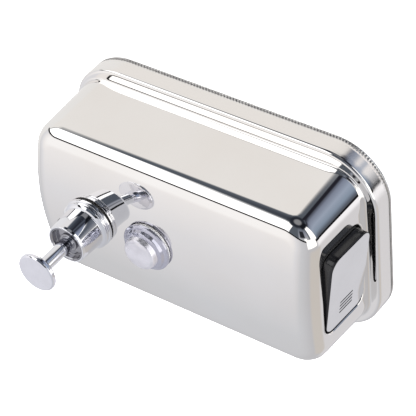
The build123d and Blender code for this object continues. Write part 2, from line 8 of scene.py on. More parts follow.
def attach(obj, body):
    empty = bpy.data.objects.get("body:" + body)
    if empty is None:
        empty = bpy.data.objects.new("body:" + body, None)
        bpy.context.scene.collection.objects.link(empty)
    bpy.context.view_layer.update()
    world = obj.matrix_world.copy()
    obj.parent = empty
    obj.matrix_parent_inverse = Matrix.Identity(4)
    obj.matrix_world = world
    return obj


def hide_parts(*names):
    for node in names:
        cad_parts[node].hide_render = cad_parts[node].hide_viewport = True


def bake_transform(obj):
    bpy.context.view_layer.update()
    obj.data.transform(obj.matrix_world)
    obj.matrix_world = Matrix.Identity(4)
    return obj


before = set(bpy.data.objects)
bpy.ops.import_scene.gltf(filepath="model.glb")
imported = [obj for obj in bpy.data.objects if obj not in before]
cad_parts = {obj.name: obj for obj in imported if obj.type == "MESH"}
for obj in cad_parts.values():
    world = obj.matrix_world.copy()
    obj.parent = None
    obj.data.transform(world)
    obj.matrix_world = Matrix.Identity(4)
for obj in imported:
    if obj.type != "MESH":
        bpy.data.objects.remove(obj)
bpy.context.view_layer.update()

# ------------------------------------------------------------------ dimensions, mm, as in the CAD model
MM = 0.001
SHEET = 0.8
SKIRT_W, SKIRT_H, SKIRT_R = 124.0, 200.0, 32.5
SKIRT_DEPTH, SKIRT_ROUND, CREASE_ROUND = 15.5, 2.0, 1.2
SKIRT_SIDE_DEPTHS = (5.2, 8.0, 10.5)                # rings up the skirt's side, from the teeth on
SKIRT_HAZE_DEPTH = SKIRT_DEPTH - SKIRT_ROUND - 0.3  # the steel is hazed from the seam up to here
BAND_GAP, BAND_SHEET, BAND_DEPTH = 0.4, 0.6, 3.2
REAR_DEPTH, REAR_W, REAR_H, REAR_R = 18.0, 107.2, 185.2, 19.5
FRONT_DEPTH, FRONT_W, FRONT_H, FRONT_R = 55.0, 102.0, 182.4, 17.0
TOP_CROWN, BOTTOM_CROWN_REAR, BOTTOM_CROWN_FRONT = 0.8, 4.0, 4.8
FACE_DEPTH, FACE_DOME_R, FACE_ROUND = 69.2, 230.0, 12.0
PUMP_Z, GLASS_Z = -54.0, -14.0
OPENING_W, OPENING_D, OPENING_R = 58.4, 36.8, 8.0
OPENING_ROLL = 1.0                                  # rolled edge of the opening, in the visual only
PUMP_HOLE_R, GLASS_HOLE_R, CUT_REACH = 11.0, 9.5, 8.0
OPENING_DEPTH, OPENING_HEIGHT, TOP_SLOPE = 39.0, 92.75, 2.6
LID_W, LID_D, LID_R = 56.4, 34.8, 7.0
LID_PROUD, LID_SHEET, LID_EDGE, LID_LIP = 0.3, 1.4, 0.6, 0.2
LID_EDGE_ROWS, LID_LIP_ROWS = 8, 3
HINGE_X, HINGE_DROP, LID_REST_ANGLE = 18.0, -3.0, 7.5
GRIP_X, GRIP_PITCH, GRIP_COUNT = 14.8, 2.6, 4
GRIP_LENGTH, GRIP_WIDTH, GRIP_CUT = 12.0, 1.1, 0.5

SPRING_R, SPRING_WIRE_R, SPRING_TURNS = 5.2, 0.45, 8
SPRING_ROWS_PER_TURN, SPRING_SIDES = 28, 10
SPRING_REAR, SPRING_FRONT = -31.55, -5.75           # wire centres at the coil's ends, out from the face

CORNER_STEPS, SHORT_STEPS, LONG_STEPS = 22, 44, 60  # outline points per corner and per side
TEETH_PITCH = 2.0                                   # crimp marks along the seam
FOOT_START, FOOT_WAVE = 4.3, 0.9                    # depth of the skirt's lower edge, and its teeth
BAND_EDGE, BAND_WAVE, BAND_CURL = 2.5, 0.5, 1.2     # depth of the band's front edge, teeth, curl


# ------------------------------------------------------------------ mesh helpers
class Skin:
    """Points in mm and the faces between them, grown ring by ring."""

    def __init__(self):
        self.points = []
        self.faces = []

    def ring(self, points):
        start = len(self.points)
        self.points.extend(points)
        return list(range(start, len(self.points)))

    def strip(self, first, second, closed=True):
        """Quads between two rings of the same length; a ring of one point makes a fan."""
        count = max(len(first), len(second))
        if count == 1:
            return
        for i in range(count if closed else count - 1):
            j = (i + 1) % count
            if len(first) == 1:
                self.faces.append((first[0], second[j], second[i]))
            elif len(second) == 1:
                self.faces.append((first[i], first[j], second[0]))
            else:
                self.faces.append((first[i], first[j], second[j], second[i]))

    def loft(self, rings, closed=True, around=False):
        """Rings joined one to the next, and the last to the first when it goes around."""
        made = [self.ring(points) for points in rings]
        for first, second in zip(made, made[1:]):
            self.strip(first, second, closed)
        if around:
            self.strip(made[-1], made[0], closed)
        return made

    def cap(self, ring):
        self.faces.append(tuple(ring))

    def object(self, name):
        mesh = bpy.data.meshes.new(name)
        mesh.from_pydata([tuple(c * MM for c in p) for p in self.points], [], self.faces)
        mesh.update()
        made = bpy.data.objects.new(name, mesh)
        bpy.context.scene.collection.objects.link(made)
        return made


def tidy_mesh(made, merge=0.002, outward=True):
    """Merges coincident points and turns the faces outwards."""
    grown = bmesh.new()
    grown.from_mesh(made.data)
    bmesh.ops.remove_doubles(grown, verts=grown.verts, dist=merge * MM)
    if outward:
        bmesh.ops.recalc_face_normals(grown, faces=grown.faces)
    grown.to_mesh(made.data)
    grown.free()


def smooth(made, angle=32):
    made.data.shade_smooth()
    made.data.set_sharp_from_angle(angle=radians(angle))


def apply_modifiers(made):
    baked = bpy.data.meshes.new_from_object(made.evaluated_get(bpy.context.evaluated_depsgraph_get()))
    made.modifiers.clear()
    old = made.data
    made.data = baked
    bpy.data.meshes.remove(old)


def cut(made, cutter):
    """Takes the cutter out of the piece."""
    step = made.modifiers.new("cut", "BOOLEAN")
    step.operation = "DIFFERENCE"
    step.solver = "EXACT"
    step.object = cutter
    bpy.context.view_layer.update()
    apply_modifiers(made)
    bpy.data.objects.remove(cutter)


def join(target, *others):
    """Adds the others' meshes to the target's."""
    grown = bmesh.new()
    grown.from_mesh(target.data)
    for other in others:
        grown.from_mesh(other.data)
        bpy.data.objects.remove(other)
    grown.to_mesh(target.data)
    grown.free()


def finish_piece(made, body, slot, material, *nodes):
    made.data.materials.clear()
    made.data.materials.append(material)
    if nodes:
        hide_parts(*nodes)
    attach(made, body)
    return made


def rounded_profile(corners, steps=5):
    """Polyline through (radius, along[, rounding]) corners with each corner rounded off."""
    out = []
    count = len(corners)
    for i, corner in enumerate(corners):
        here = Vector(corner[:2])
        rounding = corner[2] if len(corner) > 2 else 0.0
        if not rounding or i in (0, count - 1):
            out.append(tuple(here))
            continue
        before = Vector(corners[i - 1][:2]) - here
        after = Vector(corners[i + 1][:2]) - here
        half = before.angle(after) / 2
        reach = min(rounding / max(abs(sin(half) / max(cos(half), 1e-6)), 1e-6),
                    0.49 * before.length, 0.49 * after.length)
        start, end = here + before.normalized() * reach, here + after.normalized() * reach
        for k in range(steps + 1):
            s = k / steps
            point = start * (1 - s) ** 2 + here * 2 * s * (1 - s) + end * s ** 2
            out.append(tuple(point))
    return out


def turn(name, profile, height, segments=144, closed=False):
    """Turned piece on a Y-parallel axis, from (radius, distance out from the face) points.

    A closed profile's last point is joined back to its first.
    """
    skin = Skin()
    rings = []
    for radius, out in profile:
        if radius < 1e-6:
            rings.append([(0.0, -FACE_DEPTH - out, height)])
        else:
            rings.append([(radius * cos(2 * pi * k / segments), -FACE_DEPTH - out,
                           height + radius * sin(2 * pi * k / segments)) for k in range(segments)])
    skin.loft(rings, around=closed)
    made = skin.object(name)
    tidy_mesh(made)
    smooth(made)
    return made


# ------------------------------------------------------------------ outlines
def skirt_outline(inset):
    """(x, z, normal x, normal z) round the skirt, with the same count as the tank's outline."""
    return outline(SKIRT_W / 2 - inset, SKIRT_H / 2 - inset, SKIRT_R - inset, 0.0, 0.0)


def tank_outline(depth, inset=0.0):
    share = (depth - REAR_DEPTH) / (FRONT_DEPTH - REAR_DEPTH)
    half_w = (REAR_W + share * (FRONT_W - REAR_W)) / 2 - inset
    half_h = (REAR_H + share * (FRONT_H - REAR_H)) / 2 - inset
    bottom = BOTTOM_CROWN_REAR + share * (BOTTOM_CROWN_FRONT - BOTTOM_CROWN_REAR)
    return outline(half_w, half_h, REAR_R + share * (FRONT_R - REAR_R) - inset, TOP_CROWN, bottom)


def crown_corner(half_w, half_h, radius, crown):
    """Corner centre's height, the crown arc's centre height and radius, and the corner's sweep."""
    if crown < 1e-6:
        return half_h - radius, None, None, pi / 2
    arc = (half_w ** 2 + crown ** 2) / (2 * crown)
    middle = half_h + crown - arc
    centre = middle + sqrt((arc - radius) ** 2 - (half_w - radius) ** 2)
    return centre, middle, arc, atan2(centre - middle, half_w - radius)


def outline(half_w, half_h, radius, top, bottom):
    """Closed outline with rounded corners and crowned ends, anticlockwise from the right side's top."""
    top_centre, top_middle, top_arc, top_sweep = crown_corner(half_w, half_h, radius, top)
    low_centre, low_middle, low_arc, low_sweep = crown_corner(half_w, half_h, radius, bottom)
    points = []

    def corner(cx, cz, start, end):
        for k in range(CORNER_STEPS):
            a = start + (end - start) * k / CORNER_STEPS
            points.append((cx + radius * cos(a), cz + radius * sin(a), cos(a), sin(a)))

    def end_side(sign, middle, arc, sweep, centre):
        for k in range(SHORT_STEPS):
            s = k / SHORT_STEPS
            if middle is None:
                points.append((sign * (half_w - radius) * (1 - 2 * s), sign * half_h, 0.0, sign))
            else:
                a = sweep + (pi - 2 * sweep) * s
                points.append((sign * arc * cos(a), sign * (middle + arc * sin(a)),
                               sign * cos(a), sign * sin(a)))

    corner(half_w - radius, top_centre, 0, top_sweep)
    end_side(1, top_middle, top_arc, top_sweep, top_centre)
    corner(-(half_w - radius), top_centre, pi - top_sweep, pi)
    for k in range(LONG_STEPS):
        s = k / LONG_STEPS
        points.append((-half_w, top_centre + (-low_centre - top_centre) * s, -1.0, 0.0))
    corner(-(half_w - radius), -low_centre, pi, pi + low_sweep)
    end_side(-1, low_middle, low_arc, low_sweep, low_centre)
    corner(half_w - radius, -low_centre, 2 * pi - low_sweep, 2 * pi)
    for k in range(LONG_STEPS):
        s = k / LONG_STEPS
        points.append((half_w, -low_centre + (top_centre + low_centre) * s, 1.0, 0.0))
    return points


def flat_ring(points, depth):
    return [(p[0], -depth, p[1]) for p in points]


def face_depth(x):
    return FACE_DEPTH - FACE_DOME_R + sqrt(FACE_DOME_R ** 2 - x ** 2)


# ------------------------------------------------------------------ tank
def tank_rings():
    """The tank's outside as rings, from the skirt's front round up to the middle of the face."""
    rings = [flat_ring(skirt_outline(0), depth)
             for depth in (*SKIRT_SIDE_DEPTHS, SKIRT_DEPTH - SKIRT_ROUND)]
    for k in range(1, 9):
        a = pi / 2 * k / 8
        rings.append(flat_ring(skirt_outline(SKIRT_ROUND * (1 - cos(a))),
                               SKIRT_DEPTH - SKIRT_ROUND * (1 - sin(a))))
    ledge = skirt_outline(SKIRT_ROUND)
    foot = tank_outline(SKIRT_DEPTH + CREASE_ROUND, -CREASE_ROUND)
    for k in range(1, 6):
        s = k / 6
        rings.append([(a[0] + (b[0] - a[0]) * s, -SKIRT_DEPTH, a[1] + (b[1] - a[1]) * s)
                      for a, b in zip(ledge, foot)])
    for k in range(8):
        a = pi / 2 * k / 8
        wall = tank_outline(SKIRT_DEPTH + CREASE_ROUND, -CREASE_ROUND * (1 - sin(a)))
        rings.append(flat_ring(wall, SKIRT_DEPTH + CREASE_ROUND * (1 - cos(a))))

    # the rolling-ball rounding between the tapered walls and the bowed face
    steps = FRONT_DEPTH - REAR_DEPTH
    slope_side = (REAR_W - FRONT_W) / 2 / steps
    slope_top = (REAR_H - FRONT_H) / 2 / steps
    slope_low = (REAR_H / 2 + BOTTOM_CROWN_REAR - FRONT_H / 2 - BOTTOM_CROWN_FRONT) / steps
    reference = tank_outline(FRONT_DEPTH)
    centres, wall_normals, face_normals = [], [], []
    for i, (x, z, nx, nz) in enumerate(reference):
        slope = slope_side * nx ** 2 + (slope_top if nz > 0 else slope_low) * nz ** 2
        tilt = sqrt(1 + slope ** 2)
        depth = FACE_DEPTH - FACE_ROUND
        for _ in range(4):
            drop = slope * (depth - FRONT_DEPTH) + FACE_ROUND * tilt
            cx, cz = x - nx * drop, z - nz * drop
            depth = FACE_DEPTH - FACE_DOME_R + sqrt((FACE_DOME_R - FACE_ROUND) ** 2 - cx ** 2)
        lean = cx / (FACE_DOME_R - FACE_ROUND)
        centres.append(Vector((cx, -depth, cz)))
        wall_normals.append(Vector((nx / tilt, -slope / tilt, nz / tilt)))
        face_normals.append(Vector((lean, -sqrt(1 - lean ** 2), 0.0)))
    wall_end = [c + n * FACE_ROUND for c, n in zip(centres, wall_normals)]
    wall_start = [Vector(p) for p in
                  flat_ring(tank_outline(SKIRT_DEPTH + CREASE_ROUND), SKIRT_DEPTH + CREASE_ROUND)]
    wall_rows = 18
    rings.extend([[tuple(a.lerp(b, k / wall_rows)) for a, b in zip(wall_start, wall_end)]
                  for k in range(wall_rows)])
    round_rows = 22
    for k in range(round_rows + 1):
        s = k / round_rows
        row = []
        for centre, wall, face in zip(centres, wall_normals, face_normals):
            spread = wall.angle(face)
            normal = (wall * sin((1 - s) * spread) + face * sin(s * spread)) / sin(spread)
            row.append(tuple(centre + normal * FACE_ROUND))
        rings.append(row)

    # the face closes onto its centre line
    rim = rings[-1]
    keel = FRONT_H / 2 - FRONT_W / 2
    face_rows = 24
    for k in range(1, face_rows + 1):
        s = k / face_rows
        row = []
        for x, _, z in rim:
            goal = max(-keel, min(keel, z))
            px, pz = x * (1 - s), z + (goal - z) * s
            row.append((px, -face_depth(px), pz))
        rings.append(row)
    return rings


def skirt_walk():
    """Function from distance along the skirt's outline to (x, z, normal), and the outline's length."""
    radius = SKIRT_R
    flat_x, flat_z = SKIRT_W / 2 - radius, SKIRT_H / 2 - radius
    bend = pi / 2 * radius
    legs = ((flat_x, -1, 0, 0, 1), (flat_z, 0, -1, -1, 0), (flat_x, 1, 0, 0, -1), (flat_z, 0, 1, 1, 0))
    length = 4 * flat_x + 4 * flat_z + 4 * bend

    def at(distance):
        left = distance % length
        for half, dx, dz, nx, nz in legs:
            if left <= 2 * half:
                start_x = nx * SKIRT_W / 2 - dx * half
                start_z = nz * SKIRT_H / 2 - dz * half
                return start_x + dx * left, start_z + dz * left, nx, nz
            left -= 2 * half
            if left <= bend:
                a = atan2(nz, nx) + left / radius
                cx = nx * flat_x + dx * flat_x
                cz = nz * flat_z + dz * flat_z
                return cx + radius * cos(a), cz + radius * sin(a), cos(a), sin(a)
            left -= bend
        return at(0.0)

    return at, length


def toothed(name, profile_at, per_tooth=6, closed=True):
    """Strip round the skirt whose (inset, depth) profile depends on the place within a crimp tooth."""
    at, length = skirt_walk()
    teeth = round(length / TEETH_PITCH)
    count = teeth * per_tooth
    columns = []
    for i in range(count):
        x, z, nx, nz = at(length * i / count)
        wave = 0.5 - 0.5 * cos(2 * pi * (i % per_tooth) / per_tooth)
        columns.append([(x - nx * inset, -depth, z - nz * inset) for inset, depth in profile_at(wave)])
    skin = Skin()
    rows = [[column[k] for column in columns] for k in range(len(columns[0]))]
    skin.loft(rows, around=closed)
    made = skin.object(name)
    tidy_mesh(made, outward=closed)
    return made


def skirt_foot(wave):
    """The skirt's lower edge, pressed into teeth where the band grips it."""
    top = SKIRT_SIDE_DEPTHS[0]
    start = FOOT_START - FOOT_WAVE * wave
    return [(0.0, top), (0.0, start + 0.25), (0.12, start), (0.4, start - 0.15), (0.9, start - 0.2),
            (0.9, 1.1), (1.3, 1.1), (1.3, 4.0), (0.9, top)]


def band_profile(wave):
    """Rolled seam band, open towards the front; its front edge is crimped."""
    edge = BAND_EDGE - BAND_WAVE * wave
    curl = [(BAND_CURL - BAND_CURL * sin(a), BAND_GAP + BAND_CURL * (1 - cos(a)))
            for a in (pi / 2 * k / 7 for k in range(8))]
    return ([(2.8, BAND_GAP)] + curl +
            [(0.0, edge - 0.35), (0.12, edge - 0.05), (0.4, edge), (0.7, edge - 0.1),
             (0.85, edge - 0.4),
             (0.88, 1.3), (1.0, 1.02), (2.2, 1.02), (2.2, BAND_DEPTH), (2.8, BAND_DEPTH)])


# ------------------------------------------------------------------ filler opening and lid frames
slope = radians(TOP_SLOPE)
lid_frame = Matrix((
    (1, 0, 0, 0),
    (0, cos(slope), -sin(slope), -OPENING_DEPTH),
    (0, sin(slope), cos(slope), OPENING_HEIGHT),
    (0, 0, 0, 1),
))
hinge = Matrix.Translation((HINGE_X, 0, HINGE_DROP))
rest_frame = lid_frame @ hinge @ Matrix.Rotation(radians(LID_REST_ANGLE), 4, "Y") @ hinge.inverted()


def rounded_rectangle(width, depth, radius, steps=10, side=14):
    points = []
    corners = ((1, 1), (-1, 1), (-1, -1), (1, -1))
    for start, (cx, cy) in enumerate(corners):
        mid_x, mid_y = cx * (width / 2 - radius), cy * (depth / 2 - radius)
        for k in range(steps + 1):
            a = pi / 2 * (start + k / steps)
            points.append((mid_x + radius * cos(a), mid_y + radius * sin(a)))
        next_x, next_y = corners[(start + 1) % 4]
        last = points[-1]
        a = pi / 2 * (start + 1)
        goal = (next_x * (width / 2 - radius) + radius * cos(a),
                next_y * (depth / 2 - radius) + radius * sin(a))
        for k in range(1, side):
            s = k / side
            points.append((last[0] + (goal[0] - last[0]) * s, last[1] + (goal[1] - last[1]) * s))
    return points


def in_frame(matrix, points, level):
    return [tuple(matrix @ Vector((x, y, level))) for x, y in points]


def top_level(x, y):
    """Height of the tank's top wall over the lid plane, along the lid plane's normal."""
    level = 0.0
    for _ in range(6):
        point = lid_frame @ Vector((x, y, level))
        depth = -point.y
        share = (depth - REAR_DEPTH) / (FRONT_DEPTH - REAR_DEPTH)
        half_w = (REAR_W + share * (FRONT_W - REAR_W)) / 2
        half_h = (REAR_H + share * (FRONT_H - REAR_H)) / 2
        _, middle, arc, _ = crown_corner(half_w, half_h, REAR_R, TOP_CROWN)
        level += middle + sqrt(arc ** 2 - point.x ** 2) - point.z
    return level


def opening_edge():
    """Rolled edge of the filler opening, from the wall's surface down into the neck."""
    roll = OPENING_ROLL
    skin = Skin()
    rings = []
    for k in range(7):
        a = pi / 2 * k / 6
        out = roll * (1 - sin(a))
        loop = rounded_rectangle(OPENING_W + 2 * out, OPENING_D + 2 * out, OPENING_R + out)
        rings.append([tuple(lid_frame @ Vector((x, y, top_level(x, y) - roll * (1 - cos(a)))))
                      for x, y in loop])
    loop = rounded_rectangle(OPENING_W, OPENING_D, OPENING_R)
    rings.append([tuple(lid_frame @ Vector((x, y, top_level(x, y) - roll - 0.1))) for x, y in loop])
    skin.loft(rings)
    return skin.object("opening_edge")


def prism(name, matrix, loop, low, high):
    skin = Skin()
    rings = skin.loft([in_frame(matrix, loop, low), in_frame(matrix, loop, high)])
    skin.cap(rings[0])
    skin.cap(rings[-1])
    made = skin.object(name)
    tidy_mesh(made)
    return made


# ------------------------------------------------------------------ materials
def material(name, colour, metallic=0.0, roughness=0.4, vary=0.0, vary_scale=30.0, rough_vary=0.0,
             bump=0.0, bump_scale=400.0, stretch=(1, 1, 1), tint=None, split=None, **sockets):
    """Principled material whose colour, roughness and surface vary with procedural noise.

    A split is (direction, level in metres, colour, roughness): what lies short of the level along the
    direction takes the split's colour and roughness.
    """
    made = bpy.data.materials.new(name)
    made.use_nodes = True
    tree = made.node_tree
    nodes, link = tree.nodes, tree.links.new
    shader = nodes["Principled BSDF"]
    shader.inputs["Metallic"].default_value = metallic
    for key, value in sockets.items():
        shader.inputs[key.replace("_", " ")].default_value = value
    place = nodes.new("ShaderNodeTexCoord")
    mapping = nodes.new("ShaderNodeMapping")
    mapping.inputs["Scale"].default_value = stretch
    link(place.outputs["Object"], mapping.inputs["Vector"])

    cloud = nodes.new("ShaderNodeTexNoise")
    cloud.inputs["Scale"].default_value = vary_scale
    cloud.inputs["Detail"].default_value = 4.0
    link(mapping.outputs["Vector"], cloud.inputs["Vector"])
    ramp = nodes.new("ShaderNodeValToRGB")
    low_shade = tint or tuple(c * (1 - vary) for c in colour)
    ramp.color_ramp.elements[0].position, ramp.color_ramp.elements[1].position = 0.35, 0.65
    ramp.color_ramp.elements[0].color = (*low_shade, 1)
    ramp.color_ramp.elements[1].color = (*colour, 1)
    link(cloud.outputs["Fac"], ramp.inputs["Fac"])
    shade = ramp.outputs["Color"]

    fine = nodes.new("ShaderNodeTexNoise")
    fine.inputs["Scale"].default_value = bump_scale
    fine.inputs["Detail"].default_value = 5.0
    link(mapping.outputs["Vector"], fine.inputs["Vector"])
    level = nodes.new("ShaderNodeMapRange")
    level.inputs["To Min"].default_value = max(roughness - rough_vary, 0.0)
    level.inputs["To Max"].default_value = roughness + rough_vary
    link(fine.outputs["Fac"], level.inputs["Value"])
    rough = level.outputs["Result"]
    if split:
        direction, limit, other_colour, other_rough = split
        along = nodes.new("ShaderNodeVectorMath")
        along.operation = "DOT_PRODUCT"
        link(place.outputs["Object"], along.inputs[0])
        along.inputs[1].default_value = direction
        short = nodes.new("ShaderNodeMath")
        short.operation = "LESS_THAN"
        link(along.outputs["Value"], short.inputs[0])
        short.inputs[1].default_value = limit
        blend = nodes.new("ShaderNodeMix")
        blend.data_type = "RGBA"
        link(short.outputs[0], blend.inputs["Factor"])
        first, second = [s for s in blend.inputs if s.type == "RGBA"]
        link(shade, first)
        second.default_value = (*other_colour, 1)
        shade = [s for s in blend.outputs if s.type == "RGBA"][0]
        rub = nodes.new("ShaderNodeMapRange")
        link(short.outputs[0], rub.inputs["Value"])
        link(rough, rub.inputs["To Min"])
        rub.inputs["To Max"].default_value = other_rough
        rough = rub.outputs["Result"]
    link(shade, shader.inputs["Base Color"])
    link(rough, shader.inputs["Roughness"])
    if bump:
        relief = nodes.new("ShaderNodeBump")
        relief.inputs["Strength"].default_value = bump
        relief.inputs["Distance"].default_value = 0.0001
        link(fine.outputs["Fac"], relief.inputs["Height"])
        link(relief.outputs["Normal"], shader.inputs["Normal"])
    return made


OUT = (0, -1, 0)                                    # away from the wall
GLASS_DOME_OUT = 5.7                                # where the sight glass turns from steps to dome
looks = {
    "polished_steel": material("polished_steel", (0.91, 0.90, 0.89), 1.0, 0.035,
                               tint=(0.885, 0.865, 0.845), vary_scale=14, rough_vary=0.02,
                               bump=0.012, bump_scale=900,
                               split=(OUT, SKIRT_HAZE_DEPTH * MM, (0.92, 0.90, 0.88), 0.16)),
    "seam_steel": material("seam_steel", (0.80, 0.80, 0.80), 1.0, 0.12, vary=0.15, vary_scale=300,
                           rough_vary=0.06, bump=0.2, bump_scale=1500),
    "brushed_steel": material("brushed_steel", (0.66, 0.66, 0.66), 1.0, 0.3, vary=0.12, vary_scale=60,
                              rough_vary=0.1, bump=0.35, bump_scale=1200, stretch=(1, 1, 0.05)),
    "chrome": material("chrome", (0.88, 0.89, 0.93), 1.0, 0.03, vary=0.04, vary_scale=60,
                       rough_vary=0.02, bump=0.01, bump_scale=1200),
    # a lighter, bluer copy of the chrome so the button's face reads brighter: painted reflection
    "chrome_button": material("chrome_button", (0.93, 0.935, 1.0), 1.0, 0.06, vary=0.05, vary_scale=120,
                              rough_vary=0.03, bump=0.02, bump_scale=1200),
    # a darker copy of the chrome: painted shade inside the pump barrel's recess
    "recess_chrome_painted_shade": material("recess_chrome_painted_shade", (0.42, 0.42, 0.45), 1.0, 0.12, vary=0.12, vary_scale=150,
                              rough_vary=0.05, bump=0.02, bump_scale=1500),
    "spring_steel": material("spring_steel", (0.5, 0.5, 0.52), 1.0, 0.25, vary=0.15, vary_scale=200,
                             rough_vary=0.08, bump=0.1, bump_scale=2500),
    # the sight glass's stepped rings, short of GLASS_DOME_OUT, take a darker copy of its colour: painted
    # dark reflection bands; the dome keeps the light colour
    "clear_acrylic": material("clear_acrylic", (0.80, 0.79, 0.85), 0.9, 0.3, vary=0.14, vary_scale=130,
                              rough_vary=0.06, bump=0.02, bump_scale=500,
                              split=(OUT, (FACE_DEPTH + GLASS_DOME_OUT) * MM, (0.48, 0.48, 0.56), 0.04)),
    "black_plastic": material("black_plastic", (0.012, 0.012, 0.013), 0.0, 0.35, vary=0.3,
                              vary_scale=200, rough_vary=0.1, bump=0.15, bump_scale=3000),
    "gloss_plastic": material("gloss_plastic", (0.008, 0.008, 0.009), 0.0, 0.14, vary=0.3,
                              vary_scale=200, rough_vary=0.06, bump=0.08, bump_scale=2500),
    "white_plastic": material("white_plastic", (0.75, 0.75, 0.73), 0.0, 0.4, vary=0.08, vary_scale=120,
                              rough_vary=0.08, bump=0.1, bump_scale=2500),
    "tube_plastic": material("tube_plastic", (0.7, 0.72, 0.72), 0.0, 0.3, vary=0.08, vary_scale=120,
                             rough_vary=0.08, bump=0.05, bump_scale=2000, Transmission_Weight=0.4),
    "black_rubber": material("black_rubber", (0.02, 0.02, 0.021), 0.0, 0.6, vary=0.3, vary_scale=200,
                             rough_vary=0.12, bump=0.25, bump_scale=3500),
    "grey_rubber": material("grey_rubber", (0.42, 0.42, 0.43), 0.0, 0.6, vary=0.2, vary_scale=200,
                            rough_vary=0.12, bump=0.25, bump_scale=3500),
}
# the stem guide deep in the recess takes the same darker chrome, painted shade
for alias, source in (("chrome_bush", "recess_chrome_painted_shade"), ("chrome_stem", "chrome"),
                      ("lid_plastic", "gloss_plastic"), ("nozzle_plastic", "black_plastic")):
    looks[alias] = looks[source]
lid_up = rest_frame.to_3x3().col[2].copy()
groove_level = lid_up.dot(rest_frame @ Vector((0, 0, LID_PROUD - 0.05)))
looks["chrome_lid"] = material("chrome_lid", (0.86, 0.865, 0.885), 1.0, 0.09, vary=0.05, vary_scale=40,
                               rough_vary=0.03, bump=0.02, bump_scale=1500,
                               split=(tuple(lid_up), groove_level * MM, (0.05, 0.05, 0.055), 0.3))

# ------------------------------------------------------------------ profiles of the turned pieces
# (radius, distance out from the face, optional rounding) in mm
BARREL_PROFILE = (
    (8.0, -14.0), (10.6, -14.0), (10.6, 0.6), (15.6, 0.6, 0.3), (15.6, 2.4, 0.5), (14.9, 2.7, 0.15),
    (14.9, 3.2, 0.15), (15.3, 3.4, 0.3), (15.3, 4.6, 0.7), (14.2, 5.6, 0.8), (13.1, 6.3, 0.6),
    (12.3, 20.6, 0.6), (11.9, 22.2, 0.7), (11.1, 22.2, 0.2), (11.0, 21.9), (10.5, 20.5),
    (10.2, -13.0),
)
RECESS_PROFILE = (
    (11.0, 21.9), (10.9, 21.6, 0.1), (10.6, 22.05, 0.2), (10.3, 22.0, 0.2), (9.9, 21.4, 0.3),
    (9.9, 18.5, 0.5), (5.6, 18.5), (5.6, 16.5), (8.0, 16.5), (8.0, -14.0), (9.8, -12.5),
    (10.15, 20.2),
)
GUIDE_PROFILE = (
    (4.15, 15.0), (8.0, 15.0), (8.0, 16.5), (5.6, 16.5), (5.6, 20.2, 0.4), (4.15, 20.3, 0.2),
    (4.15, 15.0),
)
STEM_PROFILE = (
    (0, -5.5), (2.5, -5.5), (2.5, 1.0), (4.1, 1.0, 0.2), (4.1, 42.2, 1.5), (4.7, 45.0), (2.0, 45.0),
    (2.0, 47.0), (0, 47.0),
)
GLASS_PROFILE = (
    (0, 6.0), (6.5, 6.0, 0.5), (6.5, -11.0), (9.2, -11.0), (9.2, 0.8), (15.0, 0.8, 0.3),
    (15.0, 2.2, 0.6), (13.8, 2.8, 0.5), (13.0, 3.0, 0.2), (12.4, 4.9, 0.7), (11.2, 5.4, 0.6),
    (10.3, 5.6, 0.3), (9.8, 8.7, 1.2), (8.0, 9.6, 1.0), (0, 9.9),
)
BUTTON_PROFILE = (
    (2.0, 45.0), (10.6, 45.0, 0.6), (12.0, 46.2, 0.8), (12.0, 48.2, 0.6), (11.2, 49.0, 0.5),
    (10.4, 49.0), (10.2, 49.0), (0, 49.0),
)
BUTTON_SOCKET = [(0, 47.0), (2.0, 47.0), (2.0, 45.0)]

# ------------------------------------------------------------------ pieces
shell_skin = Skin()
shell_skin.loft(tank_rings())
shell = shell_skin.object("tank_shell")
tidy_mesh(shell)
if sum((face.normal.y for face in shell.data.polygons if face.center.y < -0.06)) > 0:
    shell.data.flip_normals()
thick = shell.modifiers.new("sheet", "SOLIDIFY")
thick.thickness = SHEET * MM
thick.offset = -1
thick.use_even_offset = True
bpy.context.view_layer.update()
apply_modifiers(shell)
cut(shell, prism("opening_cutter", lid_frame,
                 rounded_rectangle(OPENING_W + 2 * OPENING_ROLL, OPENING_D + 2 * OPENING_ROLL,
                                   OPENING_R + OPENING_ROLL), -CUT_REACH, CUT_REACH))
for hole, height in ((PUMP_HOLE_R, PUMP_Z), (GLASS_HOLE_R, GLASS_Z)):
    drill = [(0, -CUT_REACH), (hole, -CUT_REACH), (hole, CUT_REACH), (0, CUT_REACH)]
    cut(shell, turn("hole_cutter", drill, height))
edge = opening_edge()
foot = toothed("skirt_foot", skirt_foot)
join(shell, edge, foot)
smooth(shell, 40)
finish_piece(shell, "dispenser", "polished_steel", looks["polished_steel"], "body_shell")

band = toothed("crimped_band", band_profile)
smooth(band, 40)
finish_piece(band, "dispenser", "seam_steel", looks["seam_steel"], "seam_band")

housing = turn("pump_barrel", rounded_profile(BARREL_PROFILE, 6), PUMP_Z, closed=True)
finish_piece(housing, "dispenser", "chrome", looks["chrome"], "pump_housing")

cup = turn("barrel_recess", rounded_profile(RECESS_PROFILE, 6), PUMP_Z, closed=True)
# the barrel's recess gets the darker chrome: painted shade
finish_piece(cup, "dispenser", "chrome", looks["recess_chrome_painted_shade"])

bush = turn("stem_guide", rounded_profile(GUIDE_PROFILE, 5), PUMP_Z)
finish_piece(bush, "dispenser", "chrome_bush", looks["chrome_bush"], "guide_bush")

stem = turn("push_stem", rounded_profile(STEM_PROFILE, 6), PUMP_Z, 96)
finish_piece(stem, "plunger", "chrome_stem", looks["chrome_stem"], "plunger_stem")

button = turn("push_cap", rounded_profile(BUTTON_PROFILE, 6) + BUTTON_SOCKET, PUMP_Z)
finish_piece(button, "plunger", "chrome_button", looks["chrome_button"], "push_button")
